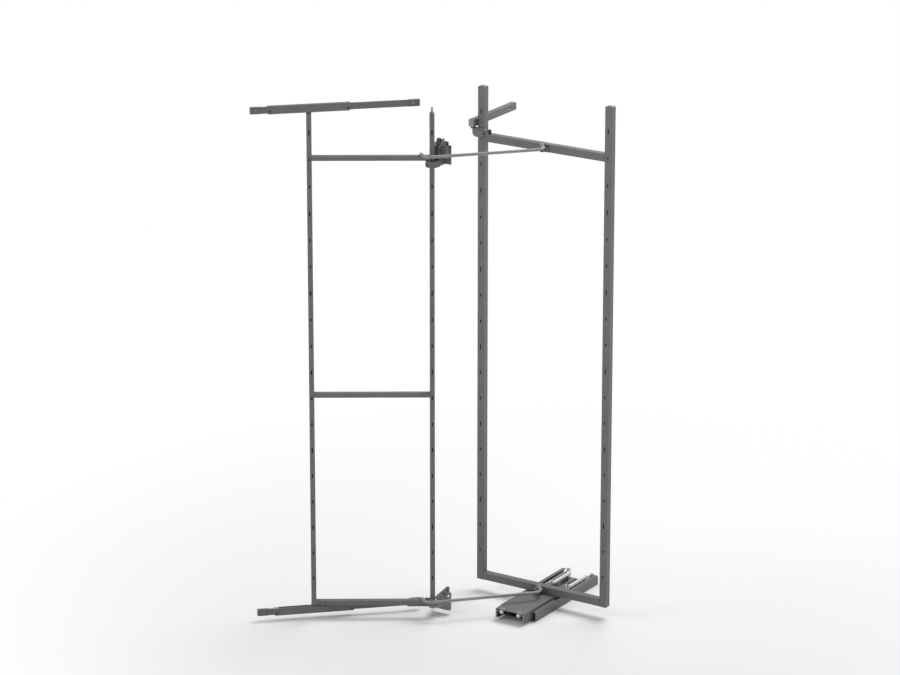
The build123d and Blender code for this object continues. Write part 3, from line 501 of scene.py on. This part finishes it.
bright_zinc = zinc_plate("bright_zinc", "#d2d3d4", "#b9babb", 0.3)
RIVET_PROFILE = ((-1.6, 3.4), (-0.2, 3.8), (0.4, 3.7), (0.75, 3.0), (0.8, 2.1), (0.2, 1.7), (0.1, 0.2))
CUP_PROFILE = ((-1.0, 3.7), (0.5, 3.7), (0.8, 4.0), (0.8, 4.8), (0.2, 5.4), (-1.0, 5.4), (-1.0, 3.7))
EYELET_PROFILE = ((-1.0, 2.35), (0.9, 2.35), (1.2, 2.6), (1.2, 3.2), (0.8, 3.65), (-1.0, 3.65), (-1.0, 2.35))
CUP_SIDES = 28
CARRIAGE_FRONT = 8.0
RIVET_ALONG = 124.0
RIVET_RISE = 9.0
CUP_FRONT = 4.5
CUP_BACK = -8.0
CUP_PLACES = (-334.0, 166.0)
rail_along = -np.array(joints["top_rail_slide"]["axis"])[:2]
rail_forward = np.array([-rail_along[1], rail_along[0], 0.0])
for level, lowest_node in (("top", "top_carriage_glides"), ("bottom", "bottom_carriage")):
    rivet_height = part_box(lowest_node)[0].z / MM + RIVET_RISE
    rivet_places = laid_out(carriage_pivot, rail_along, [(along, CARRIAGE_FRONT, rivet_height)
                                                         for along in (-RIVET_ALONG, RIVET_ALONG)])
    add_piece(f"{level}_carriage_rivets", [turned_part(place, rail_forward, RIVET_PROFILE)
                                           for place in rivet_places],
              black_polyamide, f"{level}_carriage")
    rail_middle = sum(in_mm(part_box(f"{level}_door_rail")))[2] / 2
    cup_grids, eyelet_grids = [], []
    for depth, facing in ((CUP_FRONT, rail_forward), (CUP_BACK, -rail_forward)):
        cup_places = [(along, depth, rail_middle) for along in CUP_PLACES]
        for place in laid_out(carriage_pivot, rail_along, cup_places):
            cup_grids.append(turned_part(place, facing, CUP_PROFILE, CUP_SIDES))
            eyelet_grids.append(turned_part(place, facing, EYELET_PROFILE, CUP_SIDES))
    add_piece(f"{level}_rail_hole_cups", cup_grids, black_polyamide, f"{level}_rail")
    add_piece(f"{level}_rail_eyelets", eyelet_grids, bright_zinc, f"{level}_rail")

# Upper bearing
# Die cast zinc housing, powder coated a little darker than the sheet parts.
# Black socket screws clamp its ears from the side and its block from below, and one sits in its ring.
# The ear screws' heights are from the floor, and the others' from the housing's underside.
cast_powder_coat = powder_coat("cast_powder_coat", "#5a5a5b", "#636364", "#505051", 0.46)
paint_nodes(cast_powder_coat, "upper_bearing_block")
SOCKET_SCREW = ((-1.0, 3.0), (1.6, 3.6), (2.3, 3.4), (2.5, 2.6), (2.5, 1.9), (0.9, 1.8))
SOCKET_HEXAGON = (4, 5)
RING_SCREW_AXIS = (-0.28, -0.96, 0)
EAR_SCREWS = ((6.6, 31.0, 1601.0), (32.6, 31.0, 1594.0))
BLOCK_SCREWS = ((16.0, 15.5, 0.0), (28.0, 35.0, 24.0))
RING_SCREW = (-6.0, -20.0, 10.0)


def socket_screw(place, axis):
    """A cap screw with a hexagon socket, its head's seat at the place."""
    return turned_part(place, axis, SOCKET_SCREW, hexagon=SOCKET_HEXAGON)


bearing_axis = (door_pivot[0], door_pivot[1], 0.0)
bearing_base = (door_pivot[0], door_pivot[1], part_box("upper_bearing_block")[0].z / MM)
bearing_screws = [socket_screw(np.add(bearing_axis, offset), RIGHT) for offset in EAR_SCREWS]
bearing_screws += [socket_screw(np.add(bearing_base, offset), DOWN) for offset in BLOCK_SCREWS]
bearing_screws.append(socket_screw(np.add(bearing_base, RING_SCREW), RING_SCREW_AXIS))
add_piece("upper_bearing_screws", bearing_screws, black_polyamide, "cabinet_fixings")

# Slides, pins and damper rods
# Cold rolled steel with a bright zinc plate.
# Hardened balls run between the slides, spaced out by their cages.
paint_nodes(bright_zinc, "left_fixed_slide", "right_fixed_slide", "left_moving_slide", "right_moving_slide",
            "left_slide_bracket", "right_slide_bracket", "slide_ball_cages", "damper_rod_plate",
            "left_damper_rod", "right_damper_rod", "pivot_thrust_washer", "lower_pivot_pin",
            "guide_roller_pin", "damper_saddles")
BALL_RADIUS = 1.23
BALL_PITCH = 8.0
BALL_RINGS = 9
BALL_SIDES = 12
BALL_ARC = 1.5
BALL_END_GAP = 3.0
BALL_SIDE_INSET = 1.6
BALL_HEIGHT_INSET = 0.95
cage_low, cage_high = in_mm(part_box("slide_ball_cages"))
ball_angle = np.linspace(-BALL_ARC, BALL_ARC, BALL_RINGS)
ball_profile = BALL_RADIUS * np.stack([np.sin(ball_angle), np.cos(ball_angle)], axis=1)
ball_places = [(x, y, z) for x in (cage_low[0] + BALL_SIDE_INSET, cage_high[0] - BALL_SIDE_INSET)
               for z in (cage_low[2] + BALL_HEIGHT_INSET, cage_high[2] - BALL_HEIGHT_INSET)
               for y in np.arange(cage_low[1] + BALL_END_GAP, cage_high[1] - BALL_END_GAP, BALL_PITCH)]
add_piece("slide_balls", [turned_part(place, BACK, ball_profile, BALL_SIDES) for place in ball_places],
          bright_zinc, "ball_cages")

# Guide bracket's screw and plugs
# A zinc plated pan head screw with a hexagon socket holds the bracket from the upright's right side.
# Black plugs close two tapped holes below it, one in the bracket's plate and one in the upright.
PAN_SCREW = ((-1.0, 3.2), (0.2, 3.9), (1.2, 3.8), (2.0, 3.2), (2.4, 2.3), (2.4, 1.6), (1.0, 1.5))
PAN_HEXAGON = (5, 6)
PLUG_BUTTON = ((-1.0, 2.9), (0.1, 3.1), (0.35, 2.8), (0.45, 0.3))
PLATE_SHEET = 3.0
GUIDE_SCREW_DEPTH = 4.8
GUIDE_SCREW_HEIGHT = 1576.0
GUIDE_PLATE_PLUG_INSET = 3.6
GUIDE_PLATE_PLUG_HEIGHT = 1566.0
UPRIGHT_PLUG_INSET = 11.0
UPRIGHT_PLUG_HEIGHT = 1549.8
rear_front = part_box("rear_left_upright")[0].y / MM
rear_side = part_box("rear_left_upright")[1].x / MM


def pan_screw(place, axis, scale=1.0):
    """A pan head screw with a hexagon socket, its head's seat at the place."""
    return turned_part(place, axis, np.array(PAN_SCREW) * scale, hexagon=PAN_HEXAGON)


guide_screw_place = (rear_side, rear_front + GUIDE_SCREW_DEPTH, GUIDE_SCREW_HEIGHT)
guide_plug_places = (
    (rear_side - GUIDE_PLATE_PLUG_INSET, rear_front - PLATE_SHEET, GUIDE_PLATE_PLUG_HEIGHT),
    (rear_side - UPRIGHT_PLUG_INSET, rear_front, UPRIGHT_PLUG_HEIGHT),
)
add_piece("guide_bracket_screw", [pan_screw(guide_screw_place, RIGHT)], bright_zinc, "rear_frame")
add_piece("guide_bracket_plugs", [turned_part(place, FORWARD, PLUG_BUTTON) for place in guide_plug_places],
          black_polyamide, "rear_frame")

# Pivot foot's front plate
# Sheet steel with rounded corners in front of the pivot upright's lower end, coated with the frame.
# A small zinc plated screw holds it on one side of the upright and a plug closes the hole on the other.
PLATE_LEVELS = ((0.0, 0.0), (2.4, 0.0), (2.8, 0.2), (PLATE_SHEET, 0.6))
FOOT_PLATE_LOW = (-16.5, 40.5)
FOOT_PLATE_HIGH = (25.5, 70.5)
FOOT_PLATE_CORNERS = (6.0, 2.0, 3.0, 5.0)
FOOT_CORNER_STEPS = 8
FOOT_SCREW_ALONG = -11.0
FOOT_PLUG_ALONG = 17.5
FOOT_HOLE_HEIGHT = 65.0
SMALL_HEAD = 0.8
foot_plate_shape = rounded_corners(rectangle(FOOT_PLATE_LOW, FOOT_PLATE_HIGH), FOOT_PLATE_CORNERS,
                                   FOOT_CORNER_STEPS)
foot_plate_place = laid_out(door_pivot, door_along, (0, door_front, 0))
add_piece("pivot_foot_plate",
          [lofted(foot_plate_place, (door_outward, UP, door_forward), foot_plate_shape, PLATE_LEVELS)],
          anthracite_powder_coat, "door_frame")
foot_screw_place, foot_plug_place = laid_out(
    door_pivot, door_along,
    [(along, door_front + PLATE_SHEET, FOOT_HOLE_HEIGHT) for along in (FOOT_SCREW_ALONG, FOOT_PLUG_ALONG)])
add_piece("pivot_foot_screw", [pan_screw(foot_screw_place, door_forward, SMALL_HEAD)], bright_zinc,
          "door_frame")

# Screws in the lower wall plate
# Two black pan head screws with hexagon sockets, slightly smaller than the guide bracket's.
# They sit in the plate's face above the pivot arm.
LOWER_SCREWS = ((-227.5, 68.0), (-214.3, 82.0))
LOWER_PLATE_FACE = 47.0
LOWER_SCREW_HEAD = 0.85
add_piece("lower_bracket_screws",
          [pan_screw((x, door_pivot[1] + LOWER_PLATE_FACE, z), FORWARD, LOWER_SCREW_HEAD)
           for x, z in LOWER_SCREWS],
          black_polyamide, "cabinet_fixings")

# Bush flanges and plugs on the door frame's bars
# A black flange stands out round each rod where it enters its bush in the bottom bar and the crossbar.
# Black plugs close two holes in the bottom bar's top and two smaller ones in its front.
FLANGE_PROFILE = ((0.0, 5.15), (0.7, 5.15), (0.9, 5.5), (0.8, 8.2), (0.4, 8.8), (0.0, 8.9), (0.0, 5.15))
TOP_PLUGS_ALONG = (350.0, 369.0)
TOP_PLUGS_ACROSS = -3.0
FRONT_PLUGS_ALONG = (350.0, 367.0)
FRONT_PLUGS_DROP = 7.0
bar_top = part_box("door_bottom_bar")[1].z / MM
door_crossbar_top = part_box("door_crossbar")[1].z / MM
crank = joint_place("lower_rod_pivot")
add_piece("rod_bush_flanges", [turned_part((crank[0], crank[1], top), UP, FLANGE_PROFILE, FINE_SIDES)
                               for top in (bar_top, door_crossbar_top)],
          black_polyamide, "door_frame")
top_plug_places = laid_out(door_pivot, door_along,
                           [(along, TOP_PLUGS_ACROSS, bar_top) for along in TOP_PLUGS_ALONG])
front_plug_height = bar_top - FRONT_PLUGS_DROP
front_plug_places = laid_out(door_pivot, door_along,
                             [(along, door_front, front_plug_height) for along in FRONT_PLUGS_ALONG])
bar_plugs = [turned_part(place, UP, PLUG_BUTTON) for place in top_plug_places]
bar_plugs += [turned_part(place, door_forward, np.array(PLUG_BUTTON) * SMALL_HEAD)
              for place in (*front_plug_places, foot_plug_place)]
add_piece("door_bottom_bar_plugs", bar_plugs, black_polyamide, "door_frame")

# Dampers and their catches
# Each damper is a white acetal tube with a collar and a gland at its front and a domed end.
# A sprung S of acetal strip stands in front of it, beside its rod.
white_acetal = moulded_plastic("white_acetal", "#e4e4e2", "#dadad8", 0.35)
paint_nodes(white_acetal, "left_damper", "right_damper", "slide_end_caps", "top_carriage_glides",
            "bottom_carriage_glides")
COLLAR = ((0.0, 6.04), (0.0, 6.5), (0.5, 7.0), (4.6, 7.0), (5.4, 6.5), (5.4, 6.04), (0.0, 6.04))
GLAND = ((-3.0, 2.3), (-3.0, 3.6), (-2.6, 4.3), (0.2, 4.9), (0.2, 2.3), (-3.0, 2.3))
DOMED_END = ((-4.0, 6.04), (-4.0, 6.6), (0.0, 6.6), (1.0, 5.8), (1.8, 4.0), (2.2, 2.0), (2.3, 0.2))
CATCH_ACROSS = -5.3
CATCH_POINTS = ((44.0, 36.0), (43.0, 34.0), (41.6, 26.0), (42.6, 17.0), (46.0, 10.5), (51.0, 9.0),
                (54.6, 14.0), (56.6, 23.0), (59.6, 31.0), (64.0, 33.6), (68.2, 30.0), (70.6, 25.0),
                (70.9, 21.0))
CATCH_SECTION = ((-1.1, -2.6), (1.1, 2.6))
CATCH_CORNER = 0.6
SMALL_CORNER_STEPS = 4
CURVE_STEPS = 6
CATCH_SHARP_ANGLE = 50.0


def smooth_through(points, steps):
    """A cubic curve through points: at each, its direction is that from the point before to the one after.

    Between two points it is their cubic blend by the share of the way from one to the other.
    """
    before, start, end, after = points[:-3, None], points[1:-2, None], points[2:-1, None], points[3:, None]
    share = np.linspace(0, 1, steps, endpoint=False)[:, None]
    curve = 0.5 * (2 * start + (end - before) * share
                   + (2 * before - 5 * start + 4 * end - after) * share ** 2
                   + (3 * start - before - 3 * end + after) * share ** 3)
    return curve.reshape(-1, points.shape[1])


catch_profile = rounded_corners(rectangle(*CATCH_SECTION), CATCH_CORNER, SMALL_CORNER_STEPS)[0]
catch_grids, damper_grids = [], []
for side in ("left", "right"):
    damper_low, damper_high = in_mm(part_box(f"{side}_damper"))
    damper_x, _, damper_z = (damper_low + damper_high) / 2
    front_place = (damper_x, damper_low[1], damper_z)
    back_place = (damper_x, damper_high[1], damper_z)
    damper_grids += [turned_part(front_place, BACK, COLLAR, FINE_SIDES),
                     turned_part(front_place, BACK, GLAND),
                     turned_part(back_place, BACK, DOMED_END, FINE_SIDES)]
    catch_points = np.array([(damper_x + CATCH_ACROSS, y, z) for y, z in CATCH_POINTS])
    catch_grids.append(carried_profile(smooth_through(catch_points, CURVE_STEPS), catch_profile, RIGHT))
add_piece("damper_ends", damper_grids, white_acetal, "cabinet_fixings")
sprung_catches = add_piece("damper_sprung_catches", catch_grids, white_acetal, "cabinet_fixings",
                           CATCH_SHARP_ANGLE)
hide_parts("damper_catches")

# Clips in the cover's front end
# Two white acetal hooks snap into the cover near its front corners.
# Two ribs of each show through the cover's top.
CLIP_ACROSS = 32.0
CLIP_POINTS = ((6.0, -2.6), (10.0, -3.2), (18.0, -3.4), (22.5, -5.0), (23.6, -9.5), (20.5, -13.6),
               (15.0, -14.0), (11.6, -10.6), (12.4, -7.4), (14.5, -6.6))
CLIP_DEPTH = 21.0
CLIP_WIDENING = (1.0, 1.7)
RIB_ACROSS = 4.0
RIB_DEPTH = 10.0
RIB_SECTION = ((-1.1, -4.0), (1.1, 4.0))
RIB_CORNER = 1.0
RIB_LEVELS = ((-2.5, 0.0), (0.4, 0.0), (0.7, 0.3))
cover_low, cover_high = in_mm(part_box("runner_cover"))
rib_shape = rounded_corners(rectangle(*RIB_SECTION), RIB_CORNER, SMALL_CORNER_STEPS)
clip_grids = []
for clip_x in (-CLIP_ACROSS, CLIP_ACROSS):
    clip_points = np.array([(clip_x, cover_low[1] + CLIP_DEPTH - ahead, cover_high[2] + height)
                            for ahead, height in CLIP_POINTS])
    clip_grids.append(carried_profile(smooth_through(clip_points, CURVE_STEPS),
                                      catch_profile * CLIP_WIDENING, RIGHT))
    clip_grids += [lofted((x, cover_low[1] + RIB_DEPTH, cover_high[2]), LEVEL, rib_shape, RIB_LEVELS)
                   for x in (clip_x - RIB_ACROSS, clip_x + RIB_ACROSS)]
add_piece("cover_front_clips", clip_grids, white_acetal, "rear_frame", CATCH_SHARP_ANGLE)

# Mat and strips on the runner's floor
# A black rubber mat pressed with diamonds lies between the dampers, to quieten the tray.
# Ribbed zinc strips stiffen the floor on both sides of it.
MAT_HALF_WIDTH = 15.0
MAT_FRONT = 48.0
MAT_BACK = 188.0
MAT_BASE = 2.55
MAT_THICKNESS = 1.9
MAT_COLUMNS = 49
MAT_ROWS = 197
MAT_SHARP_ANGLE = 30.0
DIAMOND_PITCH = 5.0
DIAMOND_RISE = 0.5
STRIP_MIDDLE = 21.5
STRIP_FRONT = 40.0
STRIP_PROFILE = ((-3.6, 0.0), (3.6, 0.0), (3.6, 1.2), (3.0, 1.4), (1.6, 1.4), (1.2, 3.2), (0.4, 3.6),
                 (-0.4, 3.6), (-1.2, 3.2), (-1.6, 1.4), (-3.0, 1.4), (-3.6, 1.2))
mat_across = np.linspace(-MAT_HALF_WIDTH, MAT_HALF_WIDTH, MAT_COLUMNS)
mat_along = np.linspace(MAT_FRONT, MAT_BACK, MAT_ROWS)
wave_x, wave_y = np.meshgrid(mat_across * math.pi / DIAMOND_PITCH, mat_along * math.pi / DIAMOND_PITCH)
diamonds = DIAMOND_RISE * np.abs(np.sin(wave_x + wave_y) * np.sin(wave_x - wave_y))
mat_top = np.stack([*np.meshgrid(mat_across, mat_along), MAT_BASE + MAT_THICKNESS + diamonds], axis=-1)
mat_under = mat_top[:, [-1, 0]] * (1, 1, 0) + (0, 0, MAT_BASE)
black_rubber = moulded_plastic("black_rubber", "#3c3c3d", "#2f2f30", 0.6)
add_piece("runner_floor_mat", [np.concatenate([mat_top, mat_under], axis=1)], black_rubber,
          "cabinet_fixings", MAT_SHARP_ANGLE)
strip_ring = np.insert(STRIP_PROFILE, 1, 0.0, axis=1)
strip_grids = [[strip_ring + (x, y, MAT_BASE) for y in (STRIP_FRONT, MAT_BACK)]
               for x in (-STRIP_MIDDLE, STRIP_MIDDLE)]
add_piece("runner_floor_strips", strip_grids, bright_zinc, "cabinet_fixings")

# Runner stop
# A black socket bolt stands up from the tray's right edge, in front of the rear frame's bottom bar.
# It has the same head as the upper bearing's screws.
STOP_INSET = 5.6
STOP_Y = -66.0
tray_high = in_mm(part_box("runner_base_tray"))[1]
add_piece("runner_stop_bolt", [socket_screw((tray_high[0] - STOP_INSET, STOP_Y, tray_high[2]), UP)],
          black_polyamide, "cabinet_fixings")

# Top guide
# The roller's bracket is pressed from plate, round at its lower left corner, and bolted to the upright.
# The guide rail's front end is closed by a grey cap, and a black buffer stands on the crossbar beside it.
UPRIGHT_PLATE = (RIGHT, UP, FORWARD)
BRACKET_CORNERS = (15.0, 3.0, 3.0, 1.5)
BRACKET_CORNER_STEPS = 12
SHELF_WIDTH = 15.0
SHELF_BACK_GAP = 1.0
SHELF_CORNERS = (6.0, 6.0, 0.6, 0.6)
SHELF_CORNER_STEPS = 9
SHELF_LEVELS = ((0.0, 0.5), (0.4, 0.1), (2.6, 0.1), (PLATE_SHEET, 0.5))
bracket_low, bracket_high = in_mm(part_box("top_guide_bracket"))
plate_shape = rounded_corners(rectangle(bracket_low[[0, 2]], bracket_high[[0, 2]]), BRACKET_CORNERS,
                              BRACKET_CORNER_STEPS)
shelf_corner = (bracket_low[0] + SHELF_WIDTH, bracket_high[1] - SHELF_BACK_GAP)
shelf_shape = rounded_corners(rectangle(bracket_low[:2], shelf_corner), SHELF_CORNERS, SHELF_CORNER_STEPS)
pressed_bracket = add_piece(
    "guide_bracket_pressing",
    [lofted((0, bracket_high[1], 0), UPRIGHT_PLATE, plate_shape, PLATE_LEVELS),
     lofted((0, 0, bracket_high[2] - PLATE_SHEET), LEVEL, shelf_shape, SHELF_LEVELS)],
    anthracite_powder_coat, "rear_frame")
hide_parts("top_guide_bracket")

GUIDE_CAP_CORNER = 2.5
GUIDE_CAP_LEVELS = ((0.05, 0.1), (1.8, 0.1), (2.5, 0.8))
GUIDE_CAP_PIN = ((-0.5, 2.4), (0.4, 2.2), (0.4, 1.5), (0.1, 1.3))
GUIDE_CAP_FACE = 2.5
GUIDE_PIN_INSET = 7.0
guide_low, guide_high = in_mm(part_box("top_guide_rail"))
light_polyamide = moulded_plastic("light_grey_polyamide", "#8e8e8f", "#848485", 0.45)
guide_cap_shape = rounded_corners(rectangle(guide_low[[0, 2]], guide_high[[0, 2]]), GUIDE_CAP_CORNER)
guide_cap = [lofted((0, guide_low[1], 0), UPRIGHT_PLATE, guide_cap_shape, GUIDE_CAP_LEVELS)]
guide_cap += [turned_part(((guide_low[0] + guide_high[0]) / 2, guide_low[1] - GUIDE_CAP_FACE, z), FORWARD,
                          GUIDE_CAP_PIN)
              for z in (guide_low[2] + GUIDE_PIN_INSET, guide_high[2] - GUIDE_PIN_INSET)]
add_piece("guide_rail_cap", guide_cap, light_polyamide, "cabinet_fixings")

BUFFER = ((-0.5, 4.6), (0.0, 5.4), (9.5, 5.2), (12.6, 4.4), (14.4, 2.8), (14.9, 0.3))
BUFFER_ALONG = 12.5
BUFFER_DEPTH = 13.0
buffer_place = (rear_side + BUFFER_ALONG, rear_front + BUFFER_DEPTH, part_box("rear_crossbar")[1].z / MM)
add_piece("crossbar_buffer", [turned_part(buffer_place, UP, BUFFER)], black_polyamide, "rear_frame")

# Floor, light and camera
# A pale floor that keeps the shadow near the set and fades to plain white around it. Near the set it is
# a light grey, darker than the white around it: painted shade, a broad pool round the set on top of
# its real shadow.
# Two softboxes and a white sky light it, as in a product studio. The camera is the best fit to the
# photo without a shift of the lens.
FLOOR_HALF = 60.0
FLOOR_FADE_START = 0.7
FLOOR_FADE_END = 2.1
floor_mesh = bpy.data.meshes.new("studio_floor")
floor_corners = rectangle((-FLOOR_HALF, -FLOOR_HALF), (FLOOR_HALF, FLOOR_HALF))
floor_mesh.from_pydata([(x, y, 0) for x, y in floor_corners], [], [(0, 1, 2, 3)])
studio_floor = bpy.data.objects.new("studio_floor", floor_mesh)
bpy.context.scene.collection.objects.link(studio_floor)
floor_material, tree, coordinates = new_material("floor_paint")
distance = add_node(tree, "ShaderNodeVectorMath", links={"Vector": coordinates}, operation="LENGTH")
fade = add_node(tree, "ShaderNodeMapRange", {"From Min": FLOOR_FADE_START, "From Max": FLOOR_FADE_END},
                {"Value": (distance, "Value")}, interpolation_type="SMOOTHSTEP")
# Painted shade: this light grey darkens the floor round the set, and further out it fades to glowing plain
# white.
matt = add_node(tree, "ShaderNodeBsdfDiffuse", {"Color": linear_colour("#eaeaea")})
white = add_node(tree, "ShaderNodeEmission", {"Color": linear_colour("#ffffff"), "Strength": 1.0})
blend = add_node(tree, "ShaderNodeMixShader",
                 links={0: (fade, "Result"), 1: (matt, "BSDF"), 2: (white, "Emission")})
add_node(tree, "ShaderNodeOutputMaterial", links={"Surface": (blend, "Shader")})
studio_floor.data.materials.append(floor_material)

SKY_STRENGTH = 0.45
world = bpy.data.worlds.new("studio_world")
bpy.context.scene.world = world
world.use_nodes = True
background = world.node_tree.nodes["Background"]
background.inputs["Color"].default_value = linear_colour("#ffffff")
background.inputs["Strength"].default_value = SKY_STRENGTH

SOFTBOX_SIZE = 2.6
KEY_PLACE = (-2.8, -3.2, 3.2)
KEY_POWER = 58
TOP_PLACE = (0.2, 2.0, 4.2)
TOP_POWER = 150
set_middle = (cad_low + cad_high) / 2
for name, place, power in (("key_softbox", KEY_PLACE, KEY_POWER), ("top_softbox", TOP_PLACE, TOP_POWER)):
    softbox = bpy.data.lights.new(name, "AREA")
    softbox.size = SOFTBOX_SIZE
    softbox.energy = power
    lamp = bpy.data.objects.new(name, softbox)
    lamp.location = place
    lamp.rotation_mode = "QUATERNION"
    lamp.rotation_quaternion = (set_middle - Vector(place)).to_track_quat("-Z", "Y")
    bpy.context.scene.collection.objects.link(lamp)

CAMERA_PLACE = (6.598, -10.964, 5.099)
CAMERA_YAW = 32.51
CAMERA_PITCH = 18.15
CAMERA_LENS = 166.9
CAMERA_SENSOR = 36.0
CAMERA_SIGHT = 200.0
camera_data = bpy.data.cameras.new("photo_camera")
camera_data.lens = CAMERA_LENS
camera_data.sensor_width = CAMERA_SENSOR
camera_data.clip_end = CAMERA_SIGHT
camera = bpy.data.objects.new("photo_camera", camera_data)
camera.location = CAMERA_PLACE
camera.rotation_euler = (math.radians(90 - CAMERA_PITCH), 0.0, math.radians(CAMERA_YAW))
bpy.context.scene.collection.objects.link(camera)
bpy.context.scene.camera = camera
bpy.context.scene.view_settings.view_transform = "Standard"
